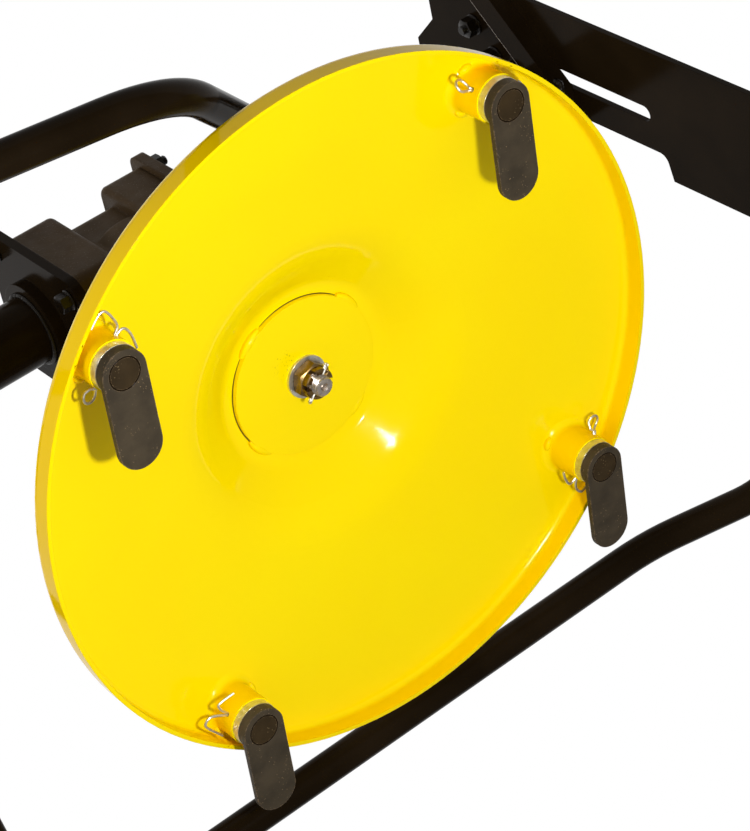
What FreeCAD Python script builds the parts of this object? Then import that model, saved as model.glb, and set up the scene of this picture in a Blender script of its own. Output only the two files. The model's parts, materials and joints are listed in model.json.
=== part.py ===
"""Cutting head of a rotary mower: a dished disc with four swinging blades, hung from a
right-angle gearbox at the end of a torque tube, with guard rails and a slotted front leg.

The origin is the centre of the rear flange's outer face. +X runs forward along the torque
tube, +Y to the left and +Z up. Lengths are in millimetres, angles in degrees.
"""
import FreeCAD
import Part
import Sketcher
import math
import os
import re

SIZES = {
    # layout
    "spindle_forward": 460,
    "rim_drop": 371,
    "seat_gap": 0.2,
    "running_gap": 0.05,
    # cutting disc
    "rim_radius": 334,
    "disc_gauge": 4,
    "lip_depth": 20,
    "lip_bend_radius": 6,
    "shoulder_radius": 140,
    "shoulder_height": 60,
    "crown_radius": 89,
    "crown_height": 96,
    "crown_bend_radius": 22,
    "crown_hole_radius": 40.5,
    # hub
    "hub_plate_radius": 78,
    "hub_plate_gauge": 5,
    "hub_boss_radius": 38,
    "hub_boss_height": 20,
    "spindle_radius": 15,
    "spindle_top_gap": 1,
    "thread_radius": 10,
    "thread_reach": 29,
    "thread_chamfer": 1.5,
    "centre_hole_radius": 3,
    "centre_hole_depth": 4,
    "nut_flats": 32,
    "nut_height": 19,
    "nut_angle": 13,
    "nut_slot_width": 4.8,
    "washer_radius": 21,
    "washer_gauge": 3,
    # blade stations
    "pin_inset": 33,
    "first_pin_angle": 40.3,
    "blade_rest_angle": 93,
    "blade_face_drop": 25.7,
    "blade_width": 43,
    "blade_reach": 72.5,
    "blade_gauge": 5.2,
    "collar_height": 4.7,
    "pin_head_radius": 14.5,
    "pin_head_gauge": 3,
    "pin_radius": 9,
    "pin_pocket_gap": 0.6,
    "thrust_ring_radius": 21.8,
    "thrust_ring_gauge": 7.8,
    "stub_radius": 23.2,
    "pin_top": 27,
    "split_pin_radius": 2.2,
    "split_pin_rise": 2.4,
    # torque tube
    "tube_radius": 35,
    "tube_wall": 5,
    "rear_flange_radius": 75,
    "rear_flange_gauge": 12,
    "rear_bolt_circle": 120,
    "rear_bolt_hole": 11,
    "front_flange_width": 156,
    "front_flange_height": 172,
    "front_flange_gauge": 10,
    "front_flange_corner": 24,
    "front_flange_drop": 6,
    "tube_collar_radius": 47,
    "tube_collar_length": 12,
    "shaft_radius": 12.5,
    "shaft_tail": 40,
    "shaft_tail_radius": 11,
    # gearbox
    "gearbox_back": 98,
    "gearbox_front": 64,
    "bearing_block_width": 130,
    "bearing_block_corner": 14,
    "block_end_radius": 6,
    "rear_block_length": 57,
    "front_block_length": 47,
    "waist_width": 100,
    "waist_corner": 14,
    "cover_width": 146,
    "cover_gauge": 12,
    "cover_corner": 12,
    "shaft_seat_depth": 120,
    "shaft_end_gap": 1,
    # spindle column
    "column_flange_radius": 58,
    "column_flange_gauge": 14,
    "column_cone_length": 28,
    "column_radius": 42,
    "column_foot_gap": 8,
    # front beam
    "beam_width": 60,
    "beam_height": 60,
    "beam_wall": 4,
    "beam_corner": 5,
    "beam_offset": 44,
    "beam_drop": 45,
    "beam_plate_width": 110,
    "beam_plate_gauge": 10,
    "beam_plate_corner": 8,
    "beam_plate_offset": 17,
    # front leg
    "leg_clearance": 173,
    "leg_gauge": 6,
    "leg_right": 62.5,
    "leg_left": 57,
    "leg_step": 29,
    "leg_step_drop": 221,
    "leg_top": 107,
    "leg_foot_drop": 438,
    "leg_corner": 8,
    "leg_step_bend": 12,
    "slot_offset": 16,
    "slot_width": 18,
    "slot_bottom_drop": 197,
    "slot_length": 240,
    # leg bracket
    "bracket_gauge": 12,
    "bracket_right": 70,
    "bracket_left": 80,
    "bracket_bottom_drop": 78,
    "bracket_top": 134,
    "bracket_rise": 34,
    "bracket_step": 5,
    "brace_gauge": 20,
    "brace_width": 30,
    "brace_foot": 62,
    "brace_angle": 48,
    # guard rails
    "guard_radius": 16,
    "guard_wall": 3,
    "guard_drop": 333,
    "guard_clearance": 50,
    "guard_back": 430,
    "guard_bend_radius": 90,
    "guard_root_left": 17.5,
    "guard_root_drop": 24.5,
    "right_rail_flare": 23,
    "right_rail_end": 86,
    "right_rail_toe": 15,
    "right_rail_bend_radius": 150,
    "right_rail_weld": 262,
    "right_rail_weld_left": 24,
    "right_rail_weld_drop": 37,
    "left_rail_nose": 195,
    "left_rail_dip": 46,
    "left_rail_dip_radius": 300,
    "saddle_forward": 36,
    "saddle_length": 54,
    "saddle_cheek": 8,
    "saddle_depth": 40,
}

LIP_INSIDE = "(rim_radius - disc_gauge)"
PIN_CIRCLE = "(rim_radius - pin_inset)"
LEG_FORWARD = "(spindle_forward + rim_radius + leg_clearance)"
GUARD_HALF_WIDTH = "(rim_radius + guard_clearance)"
BLADE_FACE = "-rim_drop - blade_face_drop"
RING_BASE = f"{BLADE_FACE} + blade_gauge + collar_height + seat_gap"
STUB_BASE = f"{RING_BASE} + thrust_ring_gauge + seat_gap"

STATIONS = 4
SOLID_NAMES = []
FUNCTIONS = {"cos", "sin", "tan", "sqrt"}

doc = FreeCAD.newDocument("mower_head")
sheet = doc.addObject("Spreadsheet::Sheet", "Sizes")
for row, (alias, number) in enumerate(SIZES.items(), start=1):
    sheet.set(f"A{row}", alias)
    sheet.set(f"B{row}", str(number))
    sheet.setAlias(f"B{row}", alias)
doc.recompute()


def bound(formula):
    """A formula of sheet aliases, as an expression that any object can hold."""
    def qualify(match):
        word = match.group(0)
        return word if word in FUNCTIONS else f"Sizes.{word}"
    return re.sub(r"[a-z_]+", qualify, formula)


def number(formula):
    """The present value of a formula of sheet aliases."""
    return float(sheet.evalExpression(bound(formula)))


def place(part, forward="0", left="0", up="0", turn="0", tilt="0"):
    """Put a part in the row frame; tilt turns it about +Y first, then turn about +Z."""
    yaw = FreeCAD.Rotation(FreeCAD.Vector(0, 0, 1), number(turn))
    pitch = FreeCAD.Rotation(FreeCAD.Vector(0, 1, 0), number(tilt))
    part.Placement = FreeCAD.Placement(FreeCAD.Vector(), yaw.multiply(pitch))
    for axis, formula in zip("xyz", (forward, left, up)):
        part.setExpression(f"Placement.Base.{axis}", bound(formula))
    return part


def cylinder(name, radius, height, **where):
    """A plain cylinder rising along its own +Z."""
    solid = doc.addObject("Part::Cylinder", name)
    solid.setExpression("Radius", bound(radius))
    solid.setExpression("Height", bound(height))
    return place(solid, **where)


def box(name, length, width, height, **where):
    """A plain box that starts at its own origin."""
    solid = doc.addObject("Part::Box", name)
    solid.setExpression("Length", bound(length))
    solid.setExpression("Width", bound(width))
    solid.setExpression("Height", bound(height))
    return place(solid, **where)


def fuse(name, parts):
    """One solid out of several."""
    joined = doc.addObject("Part::MultiFuse", name)
    joined.Shapes = parts
    joined.Refine = True
    return joined


def cut(name, base, tools):
    """The base with every tool taken out of it."""
    tool = tools[0] if len(tools) == 1 else fuse(f"{name}_tools", tools)
    remainder = doc.addObject("Part::Cut", name)
    remainder.Base = base
    remainder.Tool = tool
    remainder.Refine = True
    return remainder


def keep(solid, label):
    """Hand a finished solid on as a sub-part."""
    solid.Label = label
    SOLID_NAMES.append(solid.Name)
    return solid


def origin_plane(body, role):
    """One of a body's own origin planes."""
    return next(item for item in body.Origin.OriginFeatures if item.Role == role)


def outline(body, name, role, corners):
    """A closed sketch through corners, each a pair of formulas measured from the origin."""
    sketch = body.newObject("Sketcher::SketchObject", name)
    sketch.AttachmentSupport = (origin_plane(body, role), [""])
    sketch.MapMode = "FlatFace"
    points = [FreeCAD.Vector(number(x), number(y), 0) for x, y in corners]
    for start, end in zip(points, points[1:] + points[:1]):
        sketch.addGeometry(Part.LineSegment(start, end), False)
    for index, (x, y) in enumerate(corners):
        following = (index + 1) % len(corners)
        sketch.addConstraint(Sketcher.Constraint("Coincident", index, 2, following, 1))
        for kind, formula in (("DistanceX", x), ("DistanceY", y)):
            constraint = Sketcher.Constraint(kind, -1, 1, index, 1, number(formula))
            at = sketch.addConstraint(constraint)
            sketch.setExpression(f"Constraints[{at}]", bound(formula))
    return sketch


def turned(name, corners, **where):
    """A solid of revolution about its own +Z, from corners given as (radius, height)."""
    body = doc.addObject("PartDesign::Body", name)
    sketch = outline(body, f"{name}_profile", "XZ_Plane", corners)
    solid = body.newObject("PartDesign::Revolution", f"{name}_turn")
    solid.Profile = sketch
    solid.ReferenceAxis = (sketch, ["V_Axis"])
    solid.Angle = 360
    body.Tip = solid
    return place(body, **where)


def plate(name, role, corners, gauge, **where):
    """A flat plate: an outline on one of the body's planes, padded by its gauge."""
    body = doc.addObject("PartDesign::Body", name)
    sketch = outline(body, f"{name}_outline", role, corners)
    solid = body.newObject("PartDesign::Pad", f"{name}_pad")
    solid.Profile = sketch
    solid.setExpression("Length", bound(gauge))
    body.Tip = solid
    return place(body, **where)


def rounded(body, radius, wanted):
    """Round the edges of a body that the wanted test picks."""
    doc.recompute()
    base = body.Tip
    edges = [f"Edge{at}" for at, edge in enumerate(base.Shape.Edges, start=1) if wanted(edge)]
    fillet = body.newObject("PartDesign::Fillet", f"{base.Name}_fillet")
    fillet.Base = (base, edges)
    fillet.setExpression("Radius", bound(radius))
    body.Tip = fillet
    return body


def runs_along(direction):
    """A test for straight edges parallel to a direction of the body's own frame."""
    def wanted(edge):
        if edge.Curve.TypeId != "Part::GeomLine":
            return False
        return abs(edge.Curve.Direction.dot(direction)) > 0.999
    return wanted


ALONG_X = FreeCAD.Vector(1, 0, 0)


def ring_of(radius, height=None):
    """A test for full circles of one radius, at one height where that is given."""
    def wanted(edge):
        if edge.Curve.TypeId != "Part::GeomCircle" or abs(edge.Curve.Radius - radius) > 0.01:
            return False
        return height is None or abs(edge.Curve.Center.z - height) < 0.01
    return wanted


def lies_at(forward):
    """A test for edges that lie wholly at one place along the body's own +X."""
    def wanted(edge):
        return abs(edge.BoundBox.XMin - forward) + abs(edge.BoundBox.XMax - forward) < 0.01
    return wanted


def stands_at(places):
    """A test for edges along the body's own +X at any of these (left, up) places."""
    def wanted(edge):
        if not runs_along(ALONG_X)(edge):
            return False
        middle = edge.CenterOfMass
        return any(abs(middle.y - left) + abs(middle.z - up) < 0.01 for left, up in places)
    return wanted


def square_block(name, width, height, length, corner, **where):
    """A block along +X, centred on its own axis, with its long edges rounded."""
    half_width = f"({width}) / 2"
    half_height = f"({height}) / 2"
    corners = [
        (f"-{half_width}", f"-{half_height}"),
        (half_width, f"-{half_height}"),
        (half_width, half_height),
        (f"-{half_width}", half_height),
    ]
    block = plate(name, "YZ_Plane", corners, length, **where)
    return rounded(block, corner, runs_along(ALONG_X))


# ---------------------------------------------------------------- torque tube


def rear_flange():
    """The round flange that bolts to the machine, bored for the tube to sit in."""
    blank = cylinder("rear_flange_blank", "rear_flange_radius", "rear_flange_gauge", tilt="90")
    tools = [cylinder("rear_flange_bore", "tube_radius + seat_gap", "rear_flange_gauge", tilt="90")]
    for index in range(6):
        angle = f"{30 + 60 * index}"
        tools.append(cylinder(
            f"rear_flange_hole_{index + 1}", "rear_bolt_hole / 2", "rear_flange_gauge",
            left=f"rear_bolt_circle / 2 * cos({angle})",
            up=f"rear_bolt_circle / 2 * sin({angle})", tilt="90"))
    return keep(cut("rear_flange_cut", blank, tools), "rear_flange")


def torque_tube():
    """The tube, from the outer face of the rear flange to the gearbox flange."""
    length = "spindle_forward - gearbox_back - front_flange_gauge"
    outer = cylinder("torque_tube_outer", "tube_radius", length, tilt="90")
    inner = cylinder("torque_tube_inner", "tube_radius - tube_wall", length, tilt="90")
    return keep(cut("torque_tube_cut", outer, [inner]), "torque_tube")


def gearbox_flange():
    """The rounded plate that bolts to the gearbox, with a collar round the torque tube."""
    back = "spindle_forward - gearbox_back - front_flange_gauge"
    collar_back = f"{back} - tube_collar_length"
    flange = square_block("gearbox_flange_plate", "front_flange_width", "front_flange_height",
                          "front_flange_gauge", "front_flange_corner",
                          forward=back, up="-front_flange_drop")
    collar = cylinder("gearbox_flange_collar", "tube_collar_radius", "tube_collar_length",
                      forward=collar_back, tilt="90")
    seat = cylinder("gearbox_flange_seat", "tube_radius + seat_gap", "tube_collar_length",
                    forward=collar_back, tilt="90")
    bore = cylinder("gearbox_flange_bore", "tube_radius - tube_wall", "front_flange_gauge",
                    forward=back, tilt="90")
    blank = fuse("gearbox_flange_blank", [flange, collar])
    return keep(cut("gearbox_flange_cut", blank, [seat, bore]), "gearbox_flange")


def drive_shaft():
    """The shaft that brings the drive in through the torque tube, with a thinner tail."""
    length = "spindle_forward - gearbox_back + shaft_seat_depth"
    rod = cylinder("drive_shaft_rod", "shaft_radius", length, tilt="90")
    tail = cylinder("drive_shaft_tail", "shaft_tail_radius", "shaft_tail",
                    forward="-shaft_tail", tilt="90")
    return keep(fuse("drive_shaft_fuse", [rod, tail]), "drive_shaft")


def rail_saddle():
    """The block under the torque tube that both guard rails are welded to."""
    half_width = "(tube_radius + saddle_cheek)"
    block = box("saddle_block", "saddle_length", f"2 * {half_width}", "tube_radius + saddle_depth",
                forward="saddle_forward", left=f"-{half_width}", up="-tube_radius - saddle_depth")
    bore = cylinder("saddle_bore", "tube_radius + seat_gap / 2", "saddle_length",
                    forward="saddle_forward", tilt="90")
    keep(cut("saddle_cut", block, [bore]), "rail_saddle")
    return block


# ---------------------------------------------------------------- gearbox


def gearbox_housing():
    """Two square bearing blocks with a narrower waist between them, bored for the shafts."""
    rear = square_block("housing_rear", "bearing_block_width", "bearing_block_width",
                        "rear_block_length", "bearing_block_corner",
                        forward="spindle_forward - gearbox_back")
    rounded(rear, "block_end_radius", lies_at(number("rear_block_length")))
    waist = square_block("housing_waist", "waist_width", "waist_width",
                         "gearbox_back + gearbox_front", "waist_corner",
                         forward="spindle_forward - gearbox_back")
    front = square_block("housing_front", "bearing_block_width", "bearing_block_width",
                         "front_block_length", "bearing_block_corner",
                         forward="spindle_forward + gearbox_front - front_block_length")
    rounded(front, "block_end_radius", lies_at(0))
    snout = cylinder("housing_snout", "column_flange_radius",
                     "bearing_block_width / 2 + column_flange_gauge",
                     forward="spindle_forward",
                     up="-bearing_block_width / 2 - column_flange_gauge")
    blank = fuse("housing_blank", [rear, waist, front, snout])
    shaft_bore = cylinder("housing_shaft_bore", "shaft_radius + running_gap",
                          "shaft_seat_depth + shaft_end_gap",
                          forward="spindle_forward - gearbox_back", tilt="90")
    return keep(cut("housing_cut", blank, [shaft_bore]), "gearbox_housing")


def gearbox_cover():
    """The square end cover on the front of the gearbox."""
    cover = square_block("gearbox_cover_plate", "cover_width", "cover_width", "cover_gauge",
                         "cover_corner", forward="spindle_forward + gearbox_front")
    return keep(cover, "gearbox_cover")


def spindle_column():
    """The tapered column that carries the spindle down to just above the disc."""
    top = "rim_drop - bearing_block_width / 2 - column_flange_gauge"
    foot = "crown_height + disc_gauge + hub_boss_height + column_foot_gap"
    bore = "spindle_radius + running_gap"
    corners = [
        (bore, foot),
        ("column_radius", foot),
        ("column_radius", f"{top} - column_flange_gauge - column_cone_length"),
        ("column_flange_radius", f"{top} - column_flange_gauge"),
        ("column_flange_radius", top),
        (bore, top),
    ]
    column = turned("spindle_column_body", corners, forward="spindle_forward", up="-rim_drop")
    return keep(column, "spindle_column")


# ---------------------------------------------------------------- rotor


def disc_pan():
    """The dished disc: flat crown, steep shoulder, shallow skirt and turned-down lip."""
    skirt_edge = "lip_depth + disc_gauge"
    underside = [
        ("crown_hole_radius", "crown_height"),
        ("crown_radius", "crown_height"),
        ("shoulder_radius", "shoulder_height"),
        (LIP_INSIDE, "lip_depth"),
        (LIP_INSIDE, "0"),
        ("rim_radius", "0"),
    ]
    upper_side = [
        ("rim_radius", skirt_edge),
        ("shoulder_radius", "shoulder_height + disc_gauge"),
        ("crown_radius", "crown_height + disc_gauge"),
        ("crown_hole_radius", "crown_height + disc_gauge"),
    ]
    blank = turned("disc_blank", underside + upper_side, forward="spindle_forward", up="-rim_drop")
    rounded(blank, "crown_bend_radius", ring_of(number("crown_radius")))
    rounded(blank, "2 * (shoulder_radius - crown_radius)", ring_of(number("shoulder_radius")))
    rounded(blank, "lip_bend_radius", ring_of(number(LIP_INSIDE), height=number("lip_depth")))
    rounded(blank, "lip_bend_radius + disc_gauge",
            ring_of(number("rim_radius"), height=number(skirt_edge)))
    holes = []
    for index in range(STATIONS):
        forward, left = station(index)
        holes.append(cylinder(f"disc_hole_{index + 1}", "stub_radius + seat_gap / 2",
                              "shoulder_height", forward=forward, left=left, up="-rim_drop"))
    return keep(cut("disc_cut", blank, holes), "disc_pan")


def station(index):
    """Where a blade's pin stands: formulas for its forward and left places."""
    angle = f"(first_pin_angle + {360 // STATIONS * index})"
    forward = f"spindle_forward + {PIN_CIRCLE} * cos({angle})"
    left = f"{PIN_CIRCLE} * sin({angle})"
    return forward, left


def hub_plate():
    """The stiffening plate welded under the crown."""
    corners = [
        ("spindle_radius", "crown_height - hub_plate_gauge"),
        ("hub_plate_radius", "crown_height - hub_plate_gauge"),
        ("hub_plate_radius", "crown_height"),
        ("spindle_radius", "crown_height"),
    ]
    plate_body = turned("hub_plate_body", corners, forward="spindle_forward", up="-rim_drop")
    return keep(plate_body, "hub_plate")


def hub_boss():
    """The boss on top of the crown; it fills the crown's hole and reaches the hub plate."""
    top = "crown_height + disc_gauge + hub_boss_height"
    corners = [
        ("spindle_radius", "crown_height"),
        ("hub_boss_radius", "crown_height"),
        ("hub_boss_radius", top),
        ("spindle_radius", top),
    ]
    boss = turned("hub_boss_body", corners, forward="spindle_forward", up="-rim_drop")
    return keep(boss, "hub_boss")


def spindle():
    """The spindle: a plain shaft with a thinner threaded end below the hub plate."""
    shoulder = "crown_height - hub_plate_gauge"
    top = "rim_drop - bearing_block_width / 2 - column_flange_gauge - spindle_top_gap"
    corners = [
        ("0", f"{shoulder} - thread_reach + centre_hole_depth"),
        ("centre_hole_radius", f"{shoulder} - thread_reach"),
        ("thread_radius - thread_chamfer", f"{shoulder} - thread_reach"),
        ("thread_radius", f"{shoulder} - thread_reach + thread_chamfer"),
        ("thread_radius", shoulder),
        ("spindle_radius", shoulder),
        ("spindle_radius", top),
        ("0", top),
    ]
    shaft = turned("spindle_body", corners, forward="spindle_forward", up="-rim_drop")
    return keep(shaft, "spindle")


def spindle_washer():
    """The washer between the castle nut and the hub plate."""
    top = "crown_height - hub_plate_gauge"
    corners = [
        ("thread_radius + seat_gap", f"{top} - washer_gauge"),
        ("washer_radius", f"{top} - washer_gauge"),
        ("washer_radius", top),
        ("thread_radius + seat_gap", top),
    ]
    washer = turned("spindle_washer_body", corners, forward="spindle_forward", up="-rim_drop")
    return keep(washer, "spindle_washer")


def castle_nut():
    """The hexagonal castle nut on the spindle's thread, slotted through each pair of flats."""
    base = "crown_height - hub_plate_gauge - washer_gauge - nut_height - rim_drop"
    corner = "nut_flats / 2 / cos(30)"
    corners = []
    for side in range(6):
        angle = f"(nut_angle + {60 * side + 30})"
        corners.append((f"{corner} * cos({angle})", f"{corner} * sin({angle})"))
    blank = plate("nut_blank", "XY_Plane", corners, "nut_height",
                  forward="spindle_forward", up=base)
    tools = [cylinder("nut_bore", "thread_radius + seat_gap / 2", "nut_height",
                      forward="spindle_forward", up=base)]
    for index in range(3):
        angle = f"(nut_angle + {60 * index})"
        back = f"nut_flats * cos({angle}) - nut_slot_width / 2 * sin({angle})"
        aside = f"nut_flats * sin({angle}) + nut_slot_width / 2 * cos({angle})"
        tools.append(box(f"nut_slot_{index + 1}", "2 * nut_flats", "nut_slot_width",
                         "nut_height / 3", forward=f"spindle_forward - ({back})",
                         left=f"-({aside})", up=base, turn=angle))
    return keep(cut("nut_cut", blank, tools), "castle_nut")


# ---------------------------------------------------------------- blade stations


def cross_hole(name, index):
    """The split pin's hole, along the pin circle's tangent through a stub and its pin."""
    forward, left = station(index)
    angle = f"(first_pin_angle + {90 * index + 90})"
    return cylinder(name, "split_pin_radius + seat_gap", "4 * stub_radius",
                    forward=f"{forward} - 2 * stub_radius * cos({angle})",
                    left=f"{left} - 2 * stub_radius * sin({angle})",
                    up="-rim_drop + split_pin_rise", tilt="90", turn=angle)


def blade_stub(index):
    """The bored stub welded through the disc, flush above it, that holds a blade's pin."""
    forward, left = station(index)
    ordinal = index + 1
    height = f"shoulder_height - rim_drop - ({STUB_BASE})"
    blank = cylinder(f"stub_{ordinal}_blank", "stub_radius", height,
                     forward=forward, left=left, up=STUB_BASE)
    bore = cylinder(f"stub_{ordinal}_bore", "pin_radius + running_gap", height,
                    forward=forward, left=left, up=STUB_BASE)
    above_skirt = [
        ("rim_radius", "lip_depth + disc_gauge"),
        ("rim_radius", "shoulder_height + disc_gauge"),
        ("shoulder_radius", "shoulder_height + disc_gauge"),
    ]
    crop = turned(f"stub_{ordinal}_crop", above_skirt, forward="spindle_forward", up="-rim_drop")
    tools = [bore, cross_hole(f"stub_{ordinal}_cross", index), crop]
    return keep(cut(f"stub_{ordinal}_cut", blank, tools), f"blade_stub_{ordinal}")


def thrust_ring(index):
    """The ring between a stub and the head of its blade."""
    forward, left = station(index)
    ordinal = index + 1
    blank = cylinder(f"ring_{ordinal}_blank", "thrust_ring_radius", "thrust_ring_gauge",
                     forward=forward, left=left, up=RING_BASE)
    bore = cylinder(f"ring_{ordinal}_bore", "pin_radius + running_gap", "thrust_ring_gauge",
                    forward=forward, left=left, up=RING_BASE)
    return keep(cut(f"ring_{ordinal}_cut", blank, [bore]), f"thrust_ring_{ordinal}")


def blade_pin(index):
    """The headed pin that a blade hangs on; its head lies flush in the blade's face."""
    forward, left = station(index)
    ordinal = index + 1
    head = cylinder(f"pin_{ordinal}_head", "pin_head_radius", "pin_head_gauge",
                    forward=forward, left=left, up=BLADE_FACE)
    shank = cylinder(f"pin_{ordinal}_shank", "pin_radius", "blade_face_drop + pin_top",
                     forward=forward, left=left, up=BLADE_FACE)
    blank = fuse(f"pin_{ordinal}_blank", [head, shank])
    hole = cross_hole(f"pin_{ordinal}_cross", index)
    return keep(cut(f"pin_{ordinal}_cut", blank, [hole]), f"blade_pin_{ordinal}")


def blade(index):
    """A flat blade with two round ends and a collar behind its head."""
    forward, left = station(index)
    ordinal = index + 1
    tip_forward = f"{forward} + blade_reach * cos(blade_rest_angle)"
    tip_left = f"{left} + blade_reach * sin(blade_rest_angle)"
    head = cylinder(f"blade_{ordinal}_head", "blade_width / 2", "blade_gauge + collar_height",
                    forward=forward, left=left, up=BLADE_FACE)
    tip = cylinder(f"blade_{ordinal}_tip", "blade_width / 2", "blade_gauge",
                   forward=tip_forward, left=tip_left, up=BLADE_FACE)
    bar = box(f"blade_{ordinal}_bar", "blade_reach", "blade_width", "blade_gauge",
              forward=f"{forward} + blade_width / 2 * sin(blade_rest_angle)",
              left=f"{left} - blade_width / 2 * cos(blade_rest_angle)",
              up=BLADE_FACE, turn="blade_rest_angle")
    pocket = cylinder(f"blade_{ordinal}_pocket", "pin_head_radius + pin_pocket_gap",
                      "pin_head_gauge + seat_gap", forward=forward, left=left, up=BLADE_FACE)
    bore = cylinder(f"blade_{ordinal}_bore", "pin_radius + running_gap",
                    "blade_gauge + collar_height", forward=forward, left=left, up=BLADE_FACE)
    blank = fuse(f"blade_{ordinal}_blank", [head, tip, bar])
    return keep(cut(f"blade_{ordinal}_cut", blank, [pocket, bore]), f"blade_{ordinal}")


# ---------------------------------------------------------------- front beam and leg


def front_beam(brace):
    """The square tube that reaches forward over the disc to the leg's bracket."""
    start = "spindle_forward + gearbox_front + cover_gauge + beam_plate_gauge"
    length = f"{LEG_FORWARD} - bracket_gauge - ({start})"
    outer = square_block("beam_outer", "beam_width", "beam_height", length, "beam_corner",
                         forward=start, left="beam_offset", up="-beam_drop")
    inner = box("beam_inner", length, "beam_width - 2 * beam_wall", "beam_height - 2 * beam_wall",
                forward=start, left="beam_offset + beam_wall - beam_width / 2",
                up="-beam_drop + beam_wall - beam_height / 2")
    keep(cut("beam_cut", outer, [inner, brace]), "front_beam")
    return outer


def beam_plate():
    """The plate on the beam's rear end, bolted to the gearbox cover."""
    back = square_block("beam_plate_body", "beam_plate_width", "beam_plate_width",
                        "beam_plate_gauge", "beam_plate_corner",
                        forward="spindle_forward + gearbox_front + cover_gauge",
                        left="beam_plate_offset", up="-beam_plate_offset")
    return keep(back, "beam_plate")


def front_leg():
    """The tall slotted leg with a step on its left edge."""
    corners = [
        ("-leg_right", "-leg_foot_drop"),
        ("leg_left + leg_step", "-leg_foot_drop"),
        ("leg_left + leg_step", "-leg_step_drop"),
        ("leg_left", "-leg_step_drop + leg_step / 4"),
        ("leg_left", "leg_top"),
        ("-leg_right", "leg_top"),
    ]
    blank = plate("leg_blank", "YZ_Plane", corners, "leg_gauge",
                  forward=LEG_FORWARD)
    places = [(number(left), number(up)) for left, up in corners]
    rounded(blank, "leg_step_bend", stands_at(places[3:4]))
    rounded(blank, "leg_corner", stands_at(places[:2] + places[4:]))
    tools = []
    forward = LEG_FORWARD
    low = "-slot_bottom_drop + slot_width / 2"
    high = "-slot_bottom_drop + slot_length - slot_width / 2"
    tools.append(cylinder("leg_slot_low", "slot_width / 2", "leg_gauge", forward=forward,
                          left="slot_offset", up=low, tilt="90"))
    tools.append(cylinder("leg_slot_high", "slot_width / 2", "leg_gauge", forward=forward,
                          left="slot_offset", up=high, tilt="90"))
    tools.append(box("leg_slot_run", "leg_gauge", "slot_width", "slot_length - slot_width",
                     forward=forward, left="slot_offset - slot_width / 2", up=low))
    return keep(cut("leg_cut", blank, tools), "front_leg")


def leg_bracket():
    """The stout plate on the beam's front end that the leg is clamped to.

    Its lower right side follows the slanting brace; its top steps up towards the left."""
    right_height = "(brace_foot + bracket_right) * tan(brace_angle)"
    corners = [
        ("brace_foot", "-bracket_bottom_drop"),
        ("bracket_left", "-bracket_bottom_drop"),
        ("bracket_left", "bracket_top + bracket_rise"),
        ("bracket_step + bracket_rise", "bracket_top + bracket_rise"),
        ("bracket_step", "bracket_top"),
        ("-bracket_right", "bracket_top"),
        ("-bracket_right", f"-bracket_bottom_drop + {right_height}"),
    ]
    bracket = plate("bracket_body", "YZ_Plane", corners, "bracket_gauge",
                    forward=f"{LEG_FORWARD} - bracket_gauge")
    return keep(bracket, "leg_bracket")


def leg_brace():
    """The flat bar that slants down along the bracket's lower right side."""
    side = "brace_width / sin(brace_angle)"
    right_height = "(brace_foot + bracket_right) * tan(brace_angle)"
    low_right = f"(brace_foot - {side} + bracket_right) * tan(brace_angle)"
    corners = [
        (f"brace_foot - {side}", "-bracket_bottom_drop"),
        ("brace_foot", "-bracket_bottom_drop"),
        ("-bracket_right", f"-bracket_bottom_drop + {right_height}"),
        ("-bracket_right", f"-bracket_bottom_drop + {low_right}"),
    ]
    brace = plate("brace_body", "YZ_Plane", corners, "brace_gauge",
                  forward=f"{LEG_FORWARD} - brace_gauge")
    return keep(brace, "leg_brace")


# ---------------------------------------------------------------- guard rails


def bent_tube(name, points, bends, seats):
    """A round tube through points, bent to one radius at each inner point, cut at its seats."""
    edges = []
    start = points[0]
    for before, corner, after, bend in zip(points, points[1:], points[2:], bends):
        arrive = (corner - before).normalize()
        leave = (after - corner).normalize()
        half_turn = arrive.getAngle(leave) / 2
        setback = bend * math.tan(half_turn)
        first = corner - arrive * setback
        last = corner + leave * setback
        inward = (leave - arrive).normalize()
        middle = corner + inward * (bend / math.cos(half_turn) - bend)
        edges.append(Part.LineSegment(start, first).toShape())
        edges.append(Part.Arc(first, middle, last).toShape())
        start = last
    edges.append(Part.LineSegment(start, points[-1]).toShape())
    path = Part.Wire(edges)
    direction = (points[1] - points[0]).normalize()
    outer = number("guard_radius")
    skins = []
    for radius in (outer, outer - number("guard_wall")):
        ring = Part.Wire(Part.makeCircle(radius, points[0], direction))
        skins.append(path.makePipeShell([ring], True, False))
    shape = skins[0].cut(skins[1])
    for seat in seats:
        shape = shape.cut(seat.Shape)
    tube = doc.addObject("Part::Feature", name)
    tube.Shape = shape
    return tube


def point(forward, left, up):
    """A point of the row frame from three formulas."""
    return FreeCAD.Vector(number(forward), number(left), number(up))


def right_guard(saddle, beam):
    """The short rail: along the right side, then in and up to the front beam."""
    points = [
        point("saddle_forward + saddle_length / 2", "-guard_root_left", "-guard_root_drop"),
        point("spindle_forward - guard_back", f"-{GUARD_HALF_WIDTH} - right_rail_flare",
              "-guard_drop"),
        point("spindle_forward - right_rail_end", f"-{GUARD_HALF_WIDTH} + right_rail_toe",
              "-guard_drop"),
        point("spindle_forward + right_rail_weld", "right_rail_weld_left",
              "-right_rail_weld_drop"),
    ]
    bends = [number("guard_bend_radius"), number("right_rail_bend_radius")]
    tube = bent_tube("right_guard_tube", points, bends, [saddle, beam])
    return keep(tube, "right_guard")


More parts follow.
